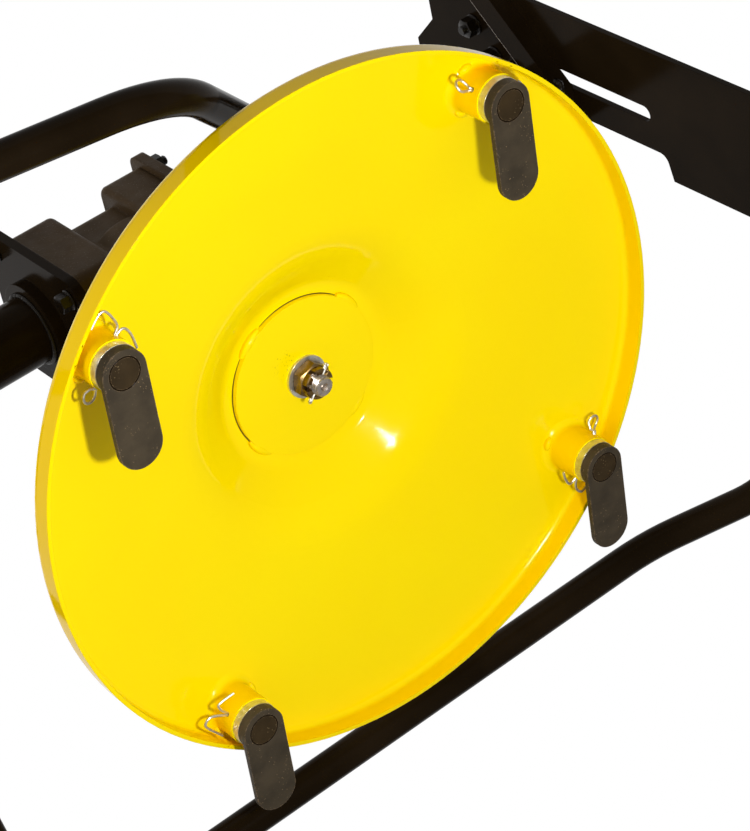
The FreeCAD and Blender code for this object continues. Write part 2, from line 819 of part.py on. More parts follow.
def left_guard(saddle):
    """The long rail: along the left side, dipping at the front, then in to the leg."""
    nose = f"{LEG_FORWARD} + leg_gauge / 2"
    points = [
        point("saddle_forward + saddle_length / 2", "guard_root_left", "-guard_root_drop"),
        point("spindle_forward - guard_back", GUARD_HALF_WIDTH, "-guard_drop"),
        point(f"{nose} - left_rail_nose", GUARD_HALF_WIDTH, "-guard_drop"),
        point(nose, GUARD_HALF_WIDTH, "-guard_drop - left_rail_dip"),
        point(nose, "leg_left + leg_step + seat_gap", "-guard_drop - left_rail_dip"),
    ]
    corner_bend = number("guard_bend_radius")
    bends = [corner_bend, number("left_rail_dip_radius"), corner_bend]
    tube = bent_tube("left_guard_tube", points, bends, [saddle])
    return keep(tube, "left_guard")


def build():
    """Make every sub-part."""
    rear_flange()
    torque_tube()
    gearbox_flange()
    drive_shaft()
    saddle = rail_saddle()
    gearbox_housing()
    gearbox_cover()
    spindle_column()
    disc_pan()
    hub_plate()
    hub_boss()
    spindle()
    spindle_washer()
    castle_nut()
    for index in range(STATIONS):
        blade_stub(index)
        thrust_ring(index)
        blade_pin(index)
        blade(index)
    brace = leg_brace()
    beam = front_beam(brace)
    beam_plate()
    front_leg()
    leg_bracket()
    right_guard(saddle, beam)
    left_guard(saddle)


def export():
    """Check every object, then write each sub-part."""
    doc.recompute()
    for item in doc.Objects:
        if "Invalid" in item.State or "Error" in item.State:
            raise RuntimeError(f"{item.Name} failed: {item.State}")
    os.makedirs("parts", exist_ok=True)
    for name in SOLID_NAMES:
        part = doc.getObject(name)
        if part.Shape.isNull() or not part.Shape.isValid():
            raise RuntimeError(f"{part.Label} has no valid shape")
        part.Shape.exportStep(f"parts/{part.Label}.step")
        print(part.Label, len(part.Shape.Solids), round(part.Shape.Volume), part.Shape.BoundBox)


build()
export()
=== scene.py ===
"""Looks of the rotary mower cutting head: finishes, welds, bolts, split pins and threads.

All lengths are in metres, in the frame of the CAD model.
"""
import json
import math
import random

import bmesh
import bpy
from mathutils import Matrix, Vector
from mathutils.bvhtree import BVHTree


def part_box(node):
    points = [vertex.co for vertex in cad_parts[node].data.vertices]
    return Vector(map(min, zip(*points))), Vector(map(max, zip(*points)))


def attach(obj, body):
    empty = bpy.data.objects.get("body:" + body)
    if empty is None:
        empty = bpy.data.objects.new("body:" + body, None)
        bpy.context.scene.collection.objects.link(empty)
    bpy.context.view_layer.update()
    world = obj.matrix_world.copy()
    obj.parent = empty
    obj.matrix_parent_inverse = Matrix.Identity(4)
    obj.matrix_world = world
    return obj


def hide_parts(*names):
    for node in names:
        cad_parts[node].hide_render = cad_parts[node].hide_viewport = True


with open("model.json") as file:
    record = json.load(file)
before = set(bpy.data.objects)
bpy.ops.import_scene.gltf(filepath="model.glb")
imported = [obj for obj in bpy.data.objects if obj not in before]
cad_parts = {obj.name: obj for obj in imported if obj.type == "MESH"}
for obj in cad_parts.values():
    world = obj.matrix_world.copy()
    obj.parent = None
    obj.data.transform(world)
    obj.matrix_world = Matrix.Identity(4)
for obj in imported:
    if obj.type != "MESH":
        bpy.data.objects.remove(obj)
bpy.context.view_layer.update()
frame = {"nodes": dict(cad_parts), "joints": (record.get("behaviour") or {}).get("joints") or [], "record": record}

MM = 0.001
UP = Vector((0, 0, 1))
FORWARD = Vector((1, 0, 0))
NODES = frame["nodes"]
STATIONS = range(1, 5)

# ---------------------------------------------------------------- places from the frame


def centre(node):
    """Middle of a node's box."""
    low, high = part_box(node)
    return (low + high) / 2


def half_length(node):
    """Half of a node's length along X, which is the radius of a round upright one."""
    low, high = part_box(node)
    return (high.x - low.x) / 2


def axis_of(name):
    """The place of a joint's axis."""
    return Vector(next(item["pos_m"] for item in frame["joints"] if item["name"] == name))


def surface_of(node):
    """A node's mesh as a tree that rays can be cast at."""
    mesh = NODES[node].data
    return BVHTree.FromPolygons([vertex.co for vertex in mesh.vertices],
                                [polygon.vertices for polygon in mesh.polygons])


SPINDLE = axis_of("disc_spin")
PINS = {index: axis_of(f"blade_swing_{index}") for index in STATIONS}
DISC = surface_of("disc_pan")
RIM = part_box("disc_pan")[0].z


def disc_underside(forward, left):
    """The height of the disc's lower skin straight above a place."""
    return DISC.ray_cast(Vector((forward, left, RIM - 0.1)), UP)[0].z


# ---------------------------------------------------------------- materials

# the Mix node's colour sockets, which share their names with its other sockets
MIX_FIRST, MIX_SECOND, MIX_RESULT = 6, 7, 2


def add_node(tree, kind, **settings):
    """A new node in a tree, with its plain settings."""
    new = tree.nodes.new(kind)
    for key, value in settings.items():
        setattr(new, key, value)
    return new


class Finish:
    """A procedural material under construction: a Principled shader and what feeds it."""

    def __init__(self, name):
        self.made = bpy.data.materials.new(name)
        self.made.use_nodes = True
        self.tree = self.made.node_tree
        self.shader = self.tree.nodes["Principled BSDF"]
        self.place = self.node("ShaderNodeTexCoord").outputs["Object"]

    def node(self, kind, **settings):
        """A new node of this material."""
        return add_node(self.tree, kind, **settings)

    def link(self, source, target):
        """Feed an output to an input."""
        self.tree.links.new(source, target)

    def noise(self, scale, detail=3.0, roughness=0.55):
        """Noise over the object, scale in cells per metre."""
        noise = self.node("ShaderNodeTexNoise")
        noise.inputs["Scale"].default_value = scale
        noise.inputs["Detail"].default_value = detail
        noise.inputs["Roughness"].default_value = roughness
        self.link(self.place, noise.inputs["Vector"])
        return noise.outputs["Fac"]

    def ramp(self, source, low, low_value, high, high_value):
        """Map a value range onto another, clamped."""
        ramp = self.node("ShaderNodeMapRange")
        ramp.inputs["From Min"].default_value = low
        ramp.inputs["From Max"].default_value = high
        ramp.inputs["To Min"].default_value = low_value
        ramp.inputs["To Max"].default_value = high_value
        self.link(source, ramp.inputs["Value"])
        return ramp.outputs["Result"]

    def patches(self, low, high, scale, detail=3.0, roughness=0.55):
        """Soft patches of noise: 0 where it is below low and 1 where it is above high."""
        return self.ramp(self.noise(scale, detail, roughness), low, 0.0, high, 1.0)

    def specks(self, scale, reach):
        """Sparse round spots: 1 inside a spot and 0 between them."""
        cells = self.node("ShaderNodeTexVoronoi")
        cells.inputs["Scale"].default_value = scale
        self.link(self.place, cells.inputs["Vector"])
        return self.ramp(cells.outputs["Distance"], reach * 0.6, 1.0, reach, 0.0)

    def times(self, first, second):
        """The product of two values."""
        product = self.node("ShaderNodeMath", operation="MULTIPLY")
        self.link(first, product.inputs[0])
        self.link(second, product.inputs[1])
        return product.outputs["Value"]

    def add(self, first, second, weight):
        """first + weight * second."""
        total = self.node("ShaderNodeMath", operation="MULTIPLY_ADD")
        self.link(second, total.inputs[0])
        total.inputs[1].default_value = weight
        self.link(first, total.inputs[2])
        return total.outputs["Value"]

    def mix(self, factor, first, second):
        """Blend two colours, or a colour socket and a colour, by a factor socket."""
        mix = self.node("ShaderNodeMix", data_type="RGBA")
        self.link(factor, mix.inputs["Factor"])
        for at, value in ((MIX_FIRST, first), (MIX_SECOND, second)):
            if isinstance(value, tuple):
                mix.inputs[at].default_value = (*value, 1.0)
            else:
                self.link(value, mix.inputs[at])
        return mix.outputs[MIX_RESULT]

    def smudge(self, middle, reach):
        """Broken specks near a place of the object, fading out at its reach."""
        away = self.node("ShaderNodeVectorMath", operation="DISTANCE")
        self.link(self.place, away.inputs[0])
        away.inputs[1].default_value = middle
        near = self.ramp(away.outputs["Value"], reach * 0.3, 1.0, reach, 0.0)
        return self.times(near, self.patches(0.60, 0.66, 520.0, 4.0, 0.7))

    def upright_shade(self):
        """1 on upright faces and 0 on faces that lie down: the mask for the yellow paint's painted shade."""
        split = self.node("ShaderNodeSeparateXYZ")
        self.link(self.node("ShaderNodeNewGeometry").outputs["Normal"], split.inputs[0])
        size = self.node("ShaderNodeMath", operation="ABSOLUTE")
        self.link(split.outputs["Z"], size.inputs[0])
        return self.ramp(size.outputs["Value"], 0.25, 1.0, 0.62, 0.0)

    def soft_normal(self, radius):
        """The surface's normal, with its edges rounded to a radius."""
        soft = self.node("ShaderNodeBevel", samples=4)
        soft.inputs["Radius"].default_value = radius
        return soft.outputs["Normal"]

    def edges(self, radius):
        """About 1 on sharp edges and 0 on flat faces."""
        dot = self.node("ShaderNodeVectorMath", operation="DOT_PRODUCT")
        self.link(self.soft_normal(radius), dot.inputs[0])
        self.link(self.node("ShaderNodeNewGeometry").outputs["Normal"], dot.inputs[1])
        return self.ramp(dot.outputs["Value"], 0.90, 1.0, 0.99, 0.0)

    def colour(self, source):
        """Feed the shader's colour."""
        self.link(source, self.shader.inputs["Base Color"])

    def roughness(self, least, most, scale, detail=3.0):
        """Let the shader's roughness drift between two values."""
        drift = self.ramp(self.noise(scale, detail), 0.3, least, 0.7, most)
        self.link(drift, self.shader.inputs["Roughness"])

    def bump(self, height, distance, strength, edge):
        """Feed a height map to the shader's normal, over edges rounded to a radius."""
        bump = self.node("ShaderNodeBump")
        bump.inputs["Strength"].default_value = strength
        bump.inputs["Distance"].default_value = distance
        self.link(height, bump.inputs["Height"])
        self.link(self.soft_normal(edge), bump.inputs["Normal"])
        self.link(bump.outputs["Normal"], self.shader.inputs["Normal"])

    def settle(self, **values):
        """Plain values on the shader's own sockets; returns the finished material."""
        for name, value in values.items():
            self.shader.inputs[name.replace("_", " ")].default_value = value
        return self.made


def yellow_paint(name="yellow_paint", smudge=None):
    """Glossy yellow powder coat: faint orange peel, slow colour drift, a few dust nibs.

    With the place of a smudge it is dirty there, and without one its upright faces are painted a deeper orange as
    painted shade.
    """
    paint = Finish(name)
    drift = paint.patches(0.35, 0.65, 5.0, 2.0)
    coat = paint.mix(drift, (0.97, 0.745, 0.0), (0.97, 0.715, 0.0))
    if smudge is None:
        # upright faces such as the rim's wall get a deeper orange: painted shade
        coat = paint.mix(paint.upright_shade(), coat, (0.97, 0.63, 0.0))
    else:
        coat = paint.mix(paint.smudge(smudge, 0.017), coat, (0.16, 0.10, 0.01))
    paint.colour(coat)
    paint.roughness(0.07, 0.11, 30.0)
    peel = paint.noise(420.0, 2.0)
    nibs = paint.specks(60.0, 0.05)
    paint.bump(paint.add(peel, nibs, 3.0), 0.0001, 0.12, edge=0.0008)
    return paint.settle(Specular_IOR_Level=0.09)


def black_paint():
    """Glossy black enamel on tube and plate."""
    paint = Finish("black_paint")
    drift = paint.patches(0.35, 0.65, 9.0)
    paint.colour(paint.mix(drift, (0.0085, 0.0050, 0.0020), (0.014, 0.0085, 0.0038)))
    paint.roughness(0.13, 0.19, 45.0)
    paint.bump(paint.noise(380.0, 2.0), 0.00012, 0.35, edge=0.0009)
    return paint.settle(Specular_IOR_Level=0.018)


def wet_black():
    """Thicker, wetter enamel that pools on welds and bolts and sparkles."""
    paint = Finish("wet_black")
    paint.bump(paint.noise(650.0, 3.0), 0.0004, 0.7, edge=0.0007)
    return paint.settle(Base_Color=(0.009, 0.006, 0.0035, 1.0), Roughness=0.16,
                        Specular_IOR_Level=0.16)


def cast_black():
    """Satin paint over a sand casting."""
    paint = Finish("cast_black")
    drift = paint.patches(0.3, 0.7, 14.0)
    dusty = paint.mix(drift, (0.038, 0.023, 0.011), (0.058, 0.036, 0.017))
    paint.colour(paint.mix(paint.specks(330.0, 0.16), dusty, (0.12, 0.095, 0.07)))
    paint.roughness(0.45, 0.6, 60.0)
    sand = paint.add(paint.noise(700.0, 4.0), paint.noise(90.0, 2.0), 1.4)
    paint.bump(sand, 0.0005, 0.5, edge=0.003)
    return paint.settle(Specular_IOR_Level=0.08)


def scale_steel(name, light, dark, freckle_colour):
    """Dark scaled steel with fine rusty freckles, and lighter brown on its sharp edges: partly wear, partly
    painted highlight.
    """
    steel = Finish(name)
    scale = steel.mix(steel.patches(0.35, 0.65, 40.0, 4.0), dark, light)
    freckles = steel.times(steel.specks(420.0, 0.22), steel.patches(0.50, 0.60, 70.0, 4.0, 0.7))
    scale = steel.mix(freckles, scale, freckle_colour)
    # lighter brown on broken stretches of sharp edges: partly wear, partly painted highlight
    edge_sheen = steel.times(steel.edges(0.0016), steel.patches(0.45, 0.62, 420.0, 4.0, 0.7))
    steel.colour(steel.mix(edge_sheen, scale, (0.30, 0.20, 0.11)))
    steel.roughness(0.38, 0.52, 240.0)
    steel.bump(steel.noise(900.0, 5.0, 0.65), 0.00018, 0.4, edge=0.0012)
    return steel.settle(Specular_IOR_Level=0.06)


def plated(name, light, dark, roughness):
    """A plated metal with fine turning and a patchy tint."""
    metal = Finish(name)
    metal.colour(metal.mix(metal.patches(0.35, 0.65, 160.0, 4.0), light, dark))
    metal.roughness(roughness, roughness + 0.14, 500.0)
    metal.bump(metal.noise(1400.0, 3.0), 0.00008, 0.5, edge=0.0003)
    return metal.settle(Metallic=0.95)


# the finish of each material slot
MATERIALS = {
    "yellow_paint": yellow_paint(),
    "black_paint": black_paint(),
    "cast_black": cast_black(),
    "scale_steel": scale_steel("scale_steel", (0.062, 0.047, 0.029), (0.040, 0.031, 0.020),
                               (0.28, 0.19, 0.10)),
    "bare_steel": plated("bare_steel", (0.52, 0.46, 0.40), (0.36, 0.31, 0.27), 0.22),
    "zinc_plate": plated("zinc_plate", (0.74, 0.72, 0.66), (0.56, 0.53, 0.46), 0.26),
    "yellow_zinc": plated("yellow_zinc", (0.24, 0.155, 0.06), (0.13, 0.08, 0.03), 0.24),
}

# finishes that stand in for a slot's own on some of its pieces
PIN_STEEL = scale_steel("pin_steel", (0.040, 0.025, 0.010), (0.024, 0.015, 0.006),
                        (0.20, 0.14, 0.07))
WET_BLACK = wet_black()
HUB_PAINT = yellow_paint("hub_paint", SPINDLE + Vector((-18, -23, 0)) * MM)


def dress_nodes():
    """Every CAD node gets the finish of its own slot, or the one that stands in for it."""
    for row in frame["record"]["subparts"]:
        mesh = NODES[row["node"]].data
        mesh.materials.clear()
        finish = MATERIALS[row["material_slot"]]
        if row["node"].startswith("blade_pin"):
            finish = PIN_STEEL
        if row["node"] == "hub_plate":
            finish = HUB_PAINT
        mesh.materials.append(finish)


# ---------------------------------------------------------------- making meshes


def piece(name, mesh, slot, body, smooth=40.0):
    """Link a finished mesh, give it its slot's material and let it ride on a body."""
    made = bpy.data.objects.new(name, mesh)
    bpy.context.scene.collection.objects.link(made)
    mesh.materials.append(MATERIALS[slot])
    mesh.polygons.foreach_set("use_smooth", [True] * len(mesh.polygons))
    mesh.set_sharp_from_angle(angle=math.radians(smooth))
    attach(made, body)
    return made


def wet_piece(name, mesh, smooth):
    """A black painted piece of the frame, in the wetter finish."""
    made = piece(name, mesh, "black_paint", "frame", smooth)
    mesh.materials[0] = WET_BLACK
    return made


def finished(name, shape):
    """The mesh of a bmesh, which is freed."""
    made = bpy.data.meshes.new(name)
    shape.to_mesh(made)
    shape.free()
    return made


def joined(name, meshes):
    """One mesh out of several."""
    gathered = bmesh.new()
    for mesh in meshes:
        gathered.from_mesh(mesh)
        bpy.data.meshes.remove(mesh)
    return finished(name, gathered)


def axes_for(direction):
    """Two unit vectors that stand square to a direction."""
    direction = direction.normalized()
    helper = UP if abs(direction.z) < 0.9 else FORWARD
    side = direction.cross(helper).normalized()
    return side, direction.cross(side)


def frame_at(place, direction):
    """A matrix whose +Z points along direction at place."""
    side, other = axes_for(direction)
    turned = Matrix((side, -other, direction.normalized())).transposed().to_4x4()
    return Matrix.Translation(place) @ turned


def sweep(name, path, radius, closed=False, sides=12):
    """A round bar along a path; radius is a number or one number for each point."""
    count = len(path)
    radii = radius if isinstance(radius, list) else [radius] * count
    mesh = bmesh.new()
    rings = []
    side = None
    for at, point in enumerate(path):
        before = path[at - 1] if closed or at else point
        after = path[(at + 1) % count] if closed or at < count - 1 else point
        along = (after - before).normalized()
        if side is None:
            side = axes_for(along)[0]
        side = (side - along * side.dot(along)).normalized()
        other = along.cross(side)
        ring = []
        for step in range(sides):
            angle = math.tau * step / sides
            offset = side * math.cos(angle) + other * math.sin(angle)
            ring.append(mesh.verts.new(point + offset * radii[at]))
        rings.append(ring)
    pairs = list(zip(rings, rings[1:]))
    if closed:
        pairs.append((rings[-1], rings[0]))
    for first, second in pairs:
        shift = best_shift(first, second) if closed and second is rings[0] else 0
        for step in range(sides):
            following = (step + 1) % sides
            mesh.faces.new((first[step], first[following],
                            second[(following + shift) % sides], second[(step + shift) % sides]))
    if not closed:
        mesh.faces.new(list(reversed(rings[0])))
        mesh.faces.new(rings[-1])
    mesh.normal_update()
    return finished(name, mesh)


def best_shift(first, second):
    """How far to turn the second ring so that it meets the first without a twist."""
    count = len(first)
    return min(range(count), key=lambda shift: sum(
        (first[step].co - second[(step + shift) % count].co).length for step in range(count)))


def lathe(name, profile, matrix, sides=48, shape=None):
    """Turn (radius, height) corners about +Z; shape(angle, radius, height) may change both."""
    mesh = bmesh.new()
    rings = []
    for radius, height in profile:
        if radius == 0:
            rings.append([mesh.verts.new(matrix @ Vector((0, 0, height)))])
            continue
        ring = []
        for step in range(sides):
            angle = math.tau * step / sides
            wide, high = shape(angle, radius, height) if shape else (radius, height)
            ring.append(mesh.verts.new(
                matrix @ Vector((wide * math.cos(angle), wide * math.sin(angle), high))))
        rings.append(ring)
    for first, second in zip(rings, rings[1:]):
        for step in range(sides):
            following = (step + 1) % sides
            corners = [first[step % len(first)], first[following % len(first)],
                       second[following % len(second)], second[step % len(second)]]
            corners = list(dict.fromkeys(corners))
            if len(corners) > 2:
                mesh.faces.new(corners)
    bmesh.ops.recalc_face_normals(mesh, faces=mesh.faces)
    return finished(name, mesh)


def skin_between(name, rings):
    """A skin over rings that all have the same number of points."""
    count = len(rings[0])
    faces = []
    for row in range(len(rings) - 1):
        for step in range(count):
            following = (step + 1) % count
            faces.append((row * count + step, row * count + following,
                          (row + 1) * count + following, (row + 1) * count + step))
    mesh = bpy.data.meshes.new(name)
    mesh.from_pydata([point for ring in rings for point in ring], [], faces)
    return mesh


# ---------------------------------------------------------------- paths


def circle(place, direction, radius, count=48):
    """Points on a circle."""
    side, other = axes_for(direction)
    angles = [math.tau * step / count for step in range(count)]
    return [place + (side * math.cos(angle) + other * math.sin(angle)) * radius
            for angle in angles]


def arc_about(middle, radius, start, end):
    """Points on a level arc, from one angle to another in degrees from +X."""
    steps = max(12, int(abs(end - start) / 2.5))
    angles = [math.radians(start + (end - start) * step / steps) for step in range(steps + 1)]
    return [middle + Vector((math.cos(angle), math.sin(angle), 0)) * radius for angle in angles]


def along_path(points, lengths, run):
    """The point that lies a run along a path."""
    for first, second, length in zip(points, points[1:], lengths):
        if run <= length and length > 0:
            return first.lerp(second, run / length)
        run -= length
    return points[-1].copy()


def smooth_path(points, steps):
    """A Catmull-Rom curve through points."""
    curve = []
    extended = [points[0]] + points + [points[-1]]
    for before, first, second, after in zip(extended, extended[1:], extended[2:], extended[3:]):
        for step in range(steps):
            run = step / steps
            curve.append(0.5 * (
                2 * first + (second - before) * run
                + (2 * before - 5 * first + 4 * second - after) * run ** 2
                + (3 * first - before - 3 * second + after) * run ** 3))
    curve.append(points[-1])
    return curve


# ---------------------------------------------------------------- fasteners

CORNER_SLOPE = math.tan(math.radians(28))  # of the turned-off corners of nuts and heads
SIXTH = math.pi / 3
STUD_PITCH = 1.75 * MM
STUD_ROOT = 0.7 * MM


def off_flat(angle):
    """The angle from the middle of the nearest flat of a hexagon."""
    return (angle + SIXTH / 2) % SIXTH - SIXTH / 2


def hex_reach(flats, angle):
    """Radius of a hexagon at an angle, from its width across flats."""
    return flats / 2 / math.cos(off_flat(angle))


def thread_root(angle, height, pitch, depth):
    """How deep a helical V groove is at a place."""
    wave = (height / pitch - angle / math.tau) % 1.0
    return depth * (1 - abs(2 * wave - 1))


def hex_head(name, matrix, flats, height):
    """A hexagonal head with its corners turned off at the top."""
    crown = flats / 2 * 0.94

    def shape(angle, radius, high):
        if radius < crown:
            return radius, high
        wide = hex_reach(flats, angle)
        return wide, min(high, height - (wide - crown) * CORNER_SLOPE)

    profile = [(0, 0), (flats, 0), (flats, height), (crown * 0.999, height), (0, height)]
    return lathe(name, profile, matrix, sides=72, shape=shape)


def washer(name, matrix, radius, gauge):
    """A washer with lightly rounded edges."""
    soft = gauge * 0.25
    profile = [(0, 0), (radius - soft, 0), (radius, soft), (radius, gauge - soft),
               (radius - soft, gauge), (0, gauge)]
    return lathe(name, profile, matrix)


def stud_end(name, matrix, radius, length):
    """The end of a threaded stud, with a chamfered tip."""
    steps = max(2, int(length / STUD_PITCH * 4))
    tip = length + radius * 0.15
    profile = [(0, 0)] + [(radius, length * step / steps) for step in range(steps + 1)]
    profile += [(radius * 0.8, tip), (0, tip)]

    def shape(angle, wide, high):
        if high > length or wide < radius:
            return wide, high
        return radius - thread_root(angle, high, STUD_PITCH, STUD_ROOT), high

    return lathe(name, profile, matrix, sides=36, shape=shape)


def bolt(name, place, direction, flats, stud=0.0):
    """A washer and hexagonal head, with a stud end past it if stud is its length."""
    at = frame_at(place, direction)
    gauge = flats * 0.14
    head = flats * 0.62
    parts = [
        washer(f"{name}_washer", at, flats * 0.62, gauge),
        hex_head(f"{name}_head", at @ Matrix.Translation((0, 0, gauge)), flats, head),
    ]
    if stud:
        tip = at @ Matrix.Translation((0, 0, gauge + head * 0.9))
        parts.append(stud_end(f"{name}_stud", tip, flats * 0.3, stud))
    return wet_piece(name, joined(name, parts), 30)


# ---------------------------------------------------------------- welds


def weld(name, path, radius, seed, closed=False):
    """A weld bead on the frame: overlapping ripples along a path."""
    draw = random.Random(seed)
    ripple_pitch = radius * 0.55
    points = path + path[:1] if closed else path
    lengths = [(second - first).length for first, second in zip(points, points[1:])]
    total = sum(lengths)
    steps = max(4, int(total / ripple_pitch * 4))
    dense = [along_path(points, lengths, total * step / steps)
             for step in range(steps if closed else steps + 1)]
    sway = draw.random() * 10
    radii = []
    for step in range(len(dense)):
        run = total * step / steps
        ripple = 0.16 * ((run / ripple_pitch) % 1.0)
        slow = 0.10 * math.sin(run / (radius * 5) + sway)
        radii.append(radius * (0.9 + ripple + slow + 0.05 * draw.random()))
    if not closed:
        for at, share in ((0, 0.3), (1, 0.7), (-1, 0.3), (-2, 0.7)):
            radii[at] *= share
    return wet_piece(name, sweep(name, dense, radii, closed, sides=10), 50)


def tack(name, path, radius):
    """A smooth lump of weld under the rotor's paint, thickest in its middle."""
    last = len(path) - 1
    radii = [radius * math.sqrt(math.sin(math.pi * (0.04 + 0.92 * at / last)))
             for at in range(last + 1)]
    return piece(name, sweep(name, path, radii, sides=16), "yellow_paint", "rotor", smooth=60)


# ---------------------------------------------------------------- blade stations

STUB_COVE = 7.5 * MM
COVE_ROWS = 8
COVE_ARC = 110  # degrees, of which the first 10 lie inside the stub

# where each stub's tack lumps lie, in degrees round it from the outward direction
TACKS = {1: (174, 60), 2: (-130, 20), 3: (-86, 75), 4: (-58, 175)}
TACK_RADIUS = 3.8 * MM
TACK_STEP = 2.5

SPLIT_PIN_HEIGHT = 2.4 * MM  # above the rim's lower edge
SPLIT_PIN_WIRE = 1.25 * MM

# the outer and inner leg of each split pin past its stub, and half of an eye, in millimetres
# along the hole and away from the spindle
FIRST_LEGS = [(10, 6), (12.7, 14.5), (8.6, 18), (2, 20)]
FIRST_INNER_LEGS = [(7, -5.6), (3, -14), (-3, -20)]
LEG_BENDS = {
    1: (FIRST_LEGS, FIRST_INNER_LEGS),
    2: ([(17, 4), (21, 10.4), (17, 15), (-4, 21)], [(13.5, -6.3), (11.7, -12), (2, -21)]),
    3: ([(9, 3), (17, 18), (13, 24), (0, 26)], [(6.7, -5.6), (3.2, -15), (-7, -26)]),
    4: (FIRST_LEGS, FIRST_INNER_LEGS),
}
EYE = [(0, 0.9), (3, 2.6), (8, 5.2), (12.5, 5.0), (15.5, 2.6), (16.3, 0)]
EYE_TILTS = {1: 0, 2: 0, 3: 0, 4: -40}  # degrees
EYE_LIFTS = {1: 7, 2: 2, 3: 4, 4: 4}  # millimetres


def outward_of(index):
    """The level direction from the spindle to a station's pin."""
    pin = PINS[index]
    return Vector((pin.x - SPINDLE.x, pin.y - SPINDLE.y, 0)).normalized()


def stub_foot(index):
    """The cove where a stub runs into the disc."""
    middle = centre(f"blade_stub_{index}")
    radius = half_length(f"blade_stub_{index}")
    rows = []
    for row in range(COVE_ROWS + 1):
        rise = math.radians(-10 + COVE_ARC * row / COVE_ROWS)
        away = STUB_COVE * (1 - math.cos(rise)) if rise > 0 else -0.3 * MM
        drop = STUB_COVE * (1 - math.sin(rise))
        ring = []
        for point in circle(middle, UP, radius + away, 72):
            outward = (point - middle).normalized()
            foot = middle + outward * (radius + max(away, 1.2 * MM))
            ring.append(Vector((point.x, point.y, disc_underside(foot.x, foot.y) - drop)))
        rows.append(ring)
    name = f"stub_foot_{index}"
    piece(name, skin_between(name, rows), "yellow_paint", "rotor", smooth=60)


def stub_tacks(index):
    """The tack lumps round a stub's foot."""
    middle = centre(f"blade_stub_{index}")
    reach = half_length(f"blade_stub_{index}") + 2.2 * MM
    outward = outward_of(index)
    start = math.atan2(outward.y, outward.x)
    for count, degrees in enumerate(TACKS[index]):
        path = []
        for step in range(-6, 7):
            angle = start + math.radians(degrees + TACK_STEP * step)
            forward = middle.x + reach * math.cos(angle)
            left = middle.y + reach * math.sin(angle)
            path.append(Vector((forward, left, disc_underside(forward, left) - 1.4 * MM)))
        tack(f"stub_tack_{index}_{count + 1}", path, TACK_RADIUS)


def split_pin(index):
    """A split pin through a stub: an eye on one side, two curled legs on the other."""
    stub = half_length(f"blade_stub_{index}") / MM
    outward = outward_of(index)
    tangent = UP.cross(outward)
    origin = Vector((PINS[index].x, PINS[index].y, RIM + SPLIT_PIN_HEIGHT))
    tilt = math.radians(EYE_TILTS[index])
    eye = []
    for run, aside in EYE + [(run, -aside) for run, aside in reversed(EYE[:-1])]:
        up = EYE_LIFTS[index] * min(1, run / 5) - aside * math.sin(tilt)
        eye.append((-stub - run, aside * math.cos(tilt), up))
    outer, inner = LEG_BENDS[index]
    path = [(stub + run, aside, 0) for run, aside in reversed(outer)]
    path += [(stub, 1.1, 0), (0, 1.0, 0)] + eye
    path += [(0, -1.0, 0), (stub, -1.1, 0)]
    path += [(stub + run, aside, 0) for run, aside in inner]
    world = [origin + (tangent * run + outward * aside + UP * up) * MM for run, aside, up in path]
    name = f"split_pin_{index}"
    mesh = sweep(name, smooth_path(world, 6), SPLIT_PIN_WIRE, sides=10)
    return piece(name, mesh, "zinc_plate", "rotor", smooth=60)


def pin_gap_shade(index):
    """A dark ring round the head of a blade's pin: painted shade in the gap between the head and the blade."""
    middle = Vector((PINS[index].x, PINS[index].y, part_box(f"blade_pin_{index}")[0].z + 0.35 * MM))
    # a thin black bar where the gap round the pin's head looks dark: painted shade
    path = arc_about(middle, half_length(f"blade_pin_{index}") + 0.3 * MM, 0, 350)
    mesh = sweep("pin_gap_shade", path, 0.75 * MM, closed=True, sides=8)
    piece(f"pin_gap_shade_{index}", mesh, "black_paint", f"blade_{index}")


# ---------------------------------------------------------------- hub and spindle

THREAD_RADIUS = 10 * MM
THREAD_PITCH = 2.2 * MM
THREAD_DEPTH = 1.7 * MM
CENTRE_HOLE = 3.2 * MM
NUT_BORE = 9.6 * MM
NUT_SLOT_HALF = 2.3 * MM


def spindle_piece():
    """The spindle with a real thread on its lower end, in place of the plain one."""
    low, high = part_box("spindle")
    wide = half_length("spindle")
    bottom = low.z
    thread_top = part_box("spindle_washer")[1].z
    profile = [(0, bottom + 7 * MM), (CENTRE_HOLE, bottom + 6 * MM),
               (CENTRE_HOLE, bottom + 0.8 * MM), (4 * MM, bottom), (8.6 * MM, bottom)]
    start = bottom + 0.2 * MM
    steps = int((thread_top - bottom) / THREAD_PITCH * 6)
    profile += [(THREAD_RADIUS, start + (thread_top - start) * step / steps)
                for step in range(steps + 1)]
    profile += [(wide, thread_top), (wide, high.z), (0, high.z)]

    def shape(angle, radius, height):
        if radius != THREAD_RADIUS:
            return radius, height
        root = thread_root(angle, height, THREAD_PITCH, THREAD_DEPTH)
        lead = max(0.0, 1 - (height - bottom) / (1.6 * MM)) * 1.5 * MM
        return radius - max(root, lead), height

    at = Matrix.Translation((SPINDLE.x, SPINDLE.y, 0))
    mesh = lathe("spindle_thread", profile, at, sides=64, shape=shape)
    made = piece("spindle_thread", mesh, "bare_steel", "rotor", smooth=28)
    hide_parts("spindle")


def nut_corner():
    """A corner of the castle nut, from the spindle's axis: its reach and its angle."""
    reaches = [vertex.co - SPINDLE for vertex in NODES["castle_nut"].data.vertices]
    corner = max(reaches, key=lambda place: math.hypot(place.x, place.y))
    return math.hypot(corner.x, corner.y), math.atan2(corner.y, corner.x)


def nut_turn():
    """The angle from +X to the middle of one of the castle nut's flats."""
    return nut_corner()[1] % SIXTH - SIXTH / 2


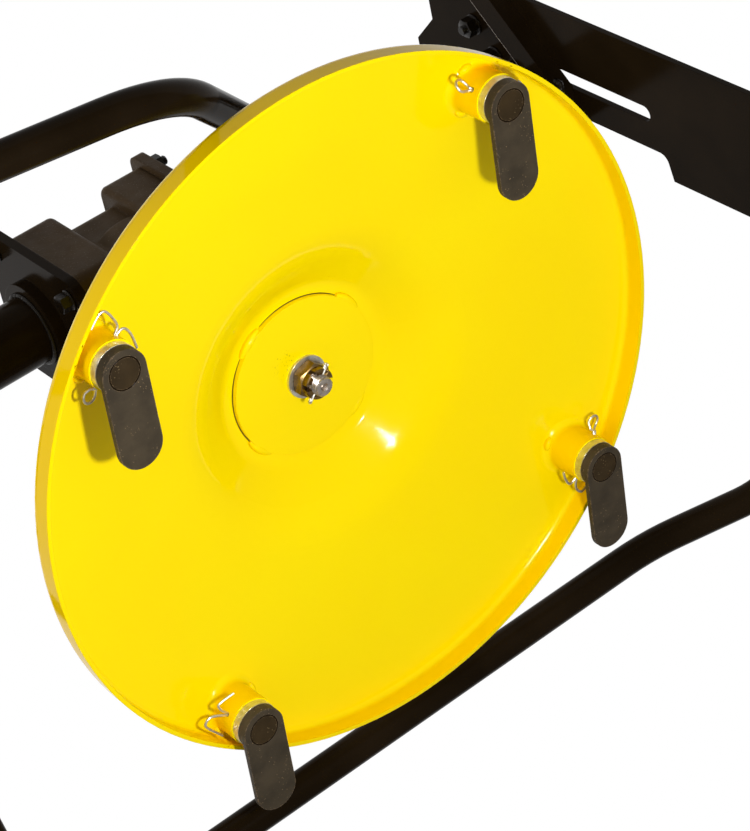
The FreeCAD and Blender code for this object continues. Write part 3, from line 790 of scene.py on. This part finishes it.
def castle_nut_piece():
    """The castle nut with turned-off corners and its six slots."""
    low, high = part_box("castle_nut")
    flats = 2 * nut_corner()[0] * math.cos(SIXTH / 2)
    height = high.z - low.z
    tower = height * 0.36
    collar = flats / 2 * 0.95

    def shape(angle, radius, high_at):
        if radius > collar:
            wide = hex_reach(flats, angle)
            cut = (wide - collar) * CORNER_SLOPE
            return wide, min(max(high_at, tower + cut), height - cut)
        across = abs(math.sin(off_flat(angle))) * max(radius, NUT_BORE)
        if high_at < tower and across < NUT_SLOT_HALF:
            high_at = tower
        return radius, high_at

    profile = [(NUT_BORE, tower + 1 * MM), (NUT_BORE, 0), (collar - 0.8 * MM, 0),
               (collar, 0.8 * MM), (collar, tower), (flats, tower), (flats, height),
               (collar, height), (NUT_BORE, height)]
    at = Matrix.Translation((SPINDLE.x, SPINDLE.y, low.z)) @ Matrix.Rotation(nut_turn(), 4, "Z")
    mesh = lathe("castle_nut_cut", profile, at, sides=144, shape=shape)
    made = piece("castle_nut_cut", mesh, "yellow_zinc", "rotor", smooth=30)
    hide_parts("castle_nut")


def spindle_split_pin():
    """The split pin straight through the spindle's thread and two slots of the nut."""
    angle = nut_turn() - SIXTH
    across = Vector((math.cos(angle), math.sin(angle), 0))
    aside = UP.cross(across)
    eye = [(17.0 + 2.5 * math.sin(math.radians(step)), 2.2 * math.cos(math.radians(step)))
           for step in range(45, 136, 15)]
    path = [(-20.0, -1.2, -2.0), (-18.5, -1.15, -0.6), (-17.0, -1.1, 0.0), (14.0, -1.1, 0.0)]
    path += [(run, -1.1 * up / 2.2, up * 0.8) for run, up in eye]
    path += [(14.0, 1.1, 0.0), (-17.0, 1.1, 0.0), (-19.0, 1.1, 0.4), (-20.5, 1.15, 1.6)]
    origin = Vector((SPINDLE.x, SPINDLE.y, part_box("castle_nut")[0].z + 3 * MM))
    world = [origin + (across * run + aside * out + UP * up) * MM for run, out, up in path]
    mesh = sweep("spindle_split_pin", smooth_path(world, 4), 1.15 * MM, sides=10)
    return piece("spindle_split_pin", mesh, "zinc_plate", "rotor", smooth=60)


def hub_welds():
    """Four tacks on the hub plate's edge, and dark arcs between them on one side: painted shade in the open seam.
    """
    radius = half_length("hub_plate")
    seam = Vector((SPINDLE.x, SPINDLE.y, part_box("hub_plate")[1].z - 0.2 * MM))
    for count, degrees in enumerate((-127, -37, 53, 143)):
        arc = arc_about(seam - UP * 1.2 * MM, radius + 0.8 * MM, degrees - 11, degrees + 11)
        tack(f"hub_tack_{count + 1}", arc, 4.4 * MM)
    # thin dark arcs on the plate's edge where the seam looks dark: painted shade
    for count, (start, end) in enumerate(((-114, -46), (132, 221))):
        arc = arc_about(seam, radius + 0.4 * MM, start, end)
        wire = [0.45 * MM * min(1.0, 0.3 + 0.1 * min(at, len(arc) - at)) for at in range(len(arc))]
        piece(f"hub_seam_shade_{count + 1}", sweep("hub_seam_shade", arc, wire), "cast_black", "rotor")


# ---------------------------------------------------------------- frame details

CORNERS = [(left, up) for left in (-1, 1) for up in (-1, 1)]


def torque_tube_welds():
    """Beads round the torque tube at both flanges."""
    low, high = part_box("torque_tube")
    radius = (high.z - low.z) / 2 + 1 * MM
    rear = Vector((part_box("rear_flange")[1].x + 1 * MM, 0, 0))
    front = Vector((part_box("gearbox_flange")[0].x - 1 * MM, 0, 0))
    weld("rear_flange_weld", circle(rear, FORWARD, radius), 2.6 * MM, 3, closed=True)
    weld("gearbox_flange_weld", circle(front, FORWARD, radius), 2.8 * MM, 4, closed=True)


def flange_bolts():
    """Bolts at the corners of the gearbox flange and nuts on the cover's studs."""
    low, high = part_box("gearbox_flange")
    middle = (low + high) / 2
    edges = [vertex.co for vertex in NODES["gearbox_flange"].data.vertices
             if abs(vertex.co.y) > high.y - 5 * MM]
    back = min(place.x for place in edges)
    for count, (left, up) in enumerate(CORNERS):
        place = Vector((back, left * (high.y - 20 * MM),
                        middle.z + up * (high.z - middle.z - 20 * MM)))
        bolt(f"flange_bolt_{count + 1}", place, -FORWARD, 17 * MM)
    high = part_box("gearbox_cover")[1]
    for count, (left, up) in enumerate(CORNERS):
        place = Vector((high.x, left * (high.y - 16 * MM), up * (high.z - 16 * MM)))
        bolt(f"cover_nut_{count + 1}", place, FORWARD, 17 * MM, stud=6 * MM)


def plate_bolts():
    """Bolts at the corners of the beam's plate that the beam leaves free."""
    low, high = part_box("beam_plate")
    beam_low, beam_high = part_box("front_beam")
    for count, (left, up) in enumerate(CORNERS):
        y = low.y + 13 * MM if left < 0 else high.y - 13 * MM
        z = low.z + 13 * MM if up < 0 else high.z - 13 * MM
        if not (beam_low.y < y < beam_high.y and beam_low.z < z < beam_high.z):
            bolt(f"plate_bolt_{count + 1}", Vector((high.x, y, z)), FORWARD, 14 * MM)


def leg_clamp():
    """The bolts that clamp the leg to its bracket through the slot, and one beside them."""
    leg_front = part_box("front_leg")[1].x
    bracket_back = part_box("leg_bracket")[0].x
    for count, (left, up) in enumerate(((16, -10), (16, 30))):
        front = Vector((leg_front, left * MM, up * MM))
        bolt(f"clamp_bolt_{count + 1}", front, FORWARD, 16 * MM)
        back = Vector((bracket_back, left * MM, up * MM))
        bolt(f"clamp_nut_{count + 1}", back, -FORWARD, 19 * MM, stud=4 * MM)
    beside = Vector((bracket_back, -14 * MM, 58 * MM))
    bolt("bracket_nut", beside, -FORWARD, 19 * MM, stud=5 * MM)


def beam_welds():
    """Beads round both ends of the beam and along the brace, and thin bright bars on the brace's long edges: a
    painted highlight.
    """
    bracket_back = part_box("leg_bracket")[0].x
    low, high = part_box("leg_brace")
    brace = [Vector((bracket_back, low.y, high.z)), Vector((bracket_back, high.y, low.z))]
    weld("brace_weld", brace, 3.2 * MM, 11)
    # thin bare steel bars along the brace's long edges: painted highlight of its rounded edges
    for count, ends in enumerate(long_back_edges("leg_brace")):
        edge_sheen = sweep("brace_edge_highlight", ends, 0.5 * MM, sides=6)
        piece(f"brace_edge_highlight_{count + 1}", edge_sheen, "bare_steel", "frame")
    low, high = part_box("front_beam")
    outline = [(low.y, low.z), (high.y, low.z), (high.y, high.z), (low.y, high.z)]
    front = [Vector((bracket_back - 1 * MM, y, z)) for y, z in outline]
    weld("beam_weld", front, 4 * MM, 12, closed=True)
    back = [Vector((low.x + 1 * MM, y, z)) for y, z in outline]
    weld("beam_plate_weld", back, 4 * MM, 13, closed=True)


def long_back_edges(node):
    """The ends of the two longest straight edges of a node's rear face."""
    mesh = NODES[node].data
    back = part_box(node)[0].x
    spans = []
    for edge in mesh.edges:
        start, end = (mesh.vertices[at].co for at in edge.vertices)
        if max(start.x, end.x) < back + 0.1 * MM:
            spans.append([start.copy(), end.copy()])
    spans.sort(key=lambda span: (span[0] - span[1]).length, reverse=True)
    return spans[:2]


# ---------------------------------------------------------------- camera, light and floor

VIEW_FROM = Vector((-0.5941, -1.4913, -2.1257))
VIEW_ALONG = Vector((0.41803, 0.58995, 0.69081))
VIEW_UP = Vector((0.48659, -0.78756, 0.37813))
VIEW_LENS = 123.5

FILL_LEVEL = 0.16  # of the surround on the object, where 1 is white
FLOOR_REACH = 9.0
FLOOR_DROP = 0.08  # below the camera
FLOOR_GLOW = 0.4


def camera():
    """The photograph's viewpoint: from low on the right and behind, looking up."""
    data = bpy.data.cameras.new("camera")
    data.lens = VIEW_LENS
    data.sensor_width = 36
    eye = bpy.data.objects.new("camera", data)
    right = VIEW_ALONG.cross(VIEW_UP).normalized()
    up = right.cross(VIEW_ALONG).normalized()
    turned = Matrix((right, up, -VIEW_ALONG.normalized())).transposed().to_4x4()
    eye.matrix_world = Matrix.Translation(VIEW_FROM) @ turned
    bpy.context.scene.collection.objects.link(eye)
    bpy.context.scene.camera = eye


def area_light(name, target, offset, size, power):
    """A square lamp that shines at a target from an offset."""
    data = bpy.data.lights.new(name, "AREA")
    data.size = size
    data.energy = power
    lamp = bpy.data.objects.new(name, data)
    lamp.matrix_world = frame_at(target + offset, offset)
    lamp.visible_camera = False
    bpy.context.scene.collection.objects.link(lamp)
    return lamp


def lighting():
    """A small key beside the camera, two broad soft lamps that no gloss mirrors, and a glint.

    The glint lights nothing: it is only mirrored, on the wall of the disc's dish.
    """
    middle = Vector((SPINDLE.x, 0, -0.33))
    dish_wall = Vector((0.513, 0.079, -0.280))
    key = Vector((-0.212, -0.400, -0.892)).normalized() * 1.2
    area_light("key", middle, key, 0.09, 10.6)
    glint = area_light("glint", dish_wall, Vector((-0.153, -0.367, -1.135)), 0.11, 12)
    glint.visible_diffuse = False
    side = area_light("side", middle, Vector((-2.2, -0.6, 0.1)), 0.9, 22)
    side.visible_glossy = False
    overhead = area_light("overhead", middle, Vector((0.0, -0.3, 3.0)), 1.8, 76)
    overhead.visible_glossy = False


def surround():
    """White to the camera, in reflections and through glass, a softer level on the object."""
    world = bpy.data.worlds.new("surround")
    bpy.context.scene.world = world
    world.use_nodes = True
    tree = world.node_tree
    background = tree.nodes["Background"]
    background.inputs["Color"].default_value = (1, 1, 1, 1)
    paths = add_node(tree, "ShaderNodeLightPath")
    seen = paths.outputs["Is Camera Ray"]
    for name in ("Is Glossy Ray", "Is Transmission Ray"):
        either = add_node(tree, "ShaderNodeMath", operation="MAXIMUM")
        tree.links.new(seen, either.inputs[0])
        tree.links.new(paths.outputs[name], either.inputs[1])
        seen = either.outputs["Value"]
    level = add_node(tree, "ShaderNodeMapRange")
    level.inputs["To Min"].default_value = FILL_LEVEL
    level.inputs["To Max"].default_value = 1.0
    tree.links.new(seen, level.inputs["Value"])
    tree.links.new(level.outputs["Result"], background.inputs["Strength"])


def floor_paint():
    """Pale paint with a faint glow to the camera, clear from below."""
    pale = bpy.data.materials.new("floor")
    pale.use_nodes = True
    tree = pale.node_tree
    shader = tree.nodes["Principled BSDF"]
    shader.inputs["Base Color"].default_value = (0.9, 0.9, 0.9, 1)
    shader.inputs["Roughness"].default_value = 0.8
    paths = add_node(tree, "ShaderNodeLightPath")
    glow = add_node(tree, "ShaderNodeMath", operation="MULTIPLY")
    glow.inputs[1].default_value = FLOOR_GLOW
    tree.links.new(paths.outputs["Is Camera Ray"], glow.inputs[0])
    tree.links.new(glow.outputs["Value"], shader.inputs["Emission Strength"])
    side = add_node(tree, "ShaderNodeNewGeometry")
    clear = add_node(tree, "ShaderNodeBsdfTransparent")
    mix = add_node(tree, "ShaderNodeMixShader")
    tree.links.new(side.outputs["Backfacing"], mix.inputs["Fac"])
    tree.links.new(shader.outputs["BSDF"], mix.inputs[1])
    tree.links.new(clear.outputs["BSDF"], mix.inputs[2])
    tree.links.new(mix.outputs["Shader"], tree.nodes["Material Output"].inputs["Surface"])
    return pale


def floor():
    """A wide pale floor just under the camera."""
    mesh = bpy.data.meshes.new("floor")
    height = VIEW_FROM.z - FLOOR_DROP
    corners = [(FLOOR_REACH * x, FLOOR_REACH * y, height)
               for x, y in ((-1, -1), (1, -1), (1, 1), (-1, 1))]
    mesh.from_pydata(corners, [], [(0, 1, 2, 3)])
    mesh.materials.append(floor_paint())
    made = bpy.data.objects.new("floor", mesh)
    bpy.context.scene.collection.objects.link(made)


# ---------------------------------------------------------------- the whole

dress_nodes()
for station in STATIONS:
    stub_foot(station)
    stub_tacks(station)
    split_pin(station)
    pin_gap_shade(station)
spindle_piece()
castle_nut_piece()
spindle_split_pin()
hub_welds()
torque_tube_welds()
flange_bolts()
plate_bolts()
leg_clamp()
beam_welds()
camera()
lighting()
surround()
floor()

bpy.context.scene.view_settings.view_transform = "Standard"
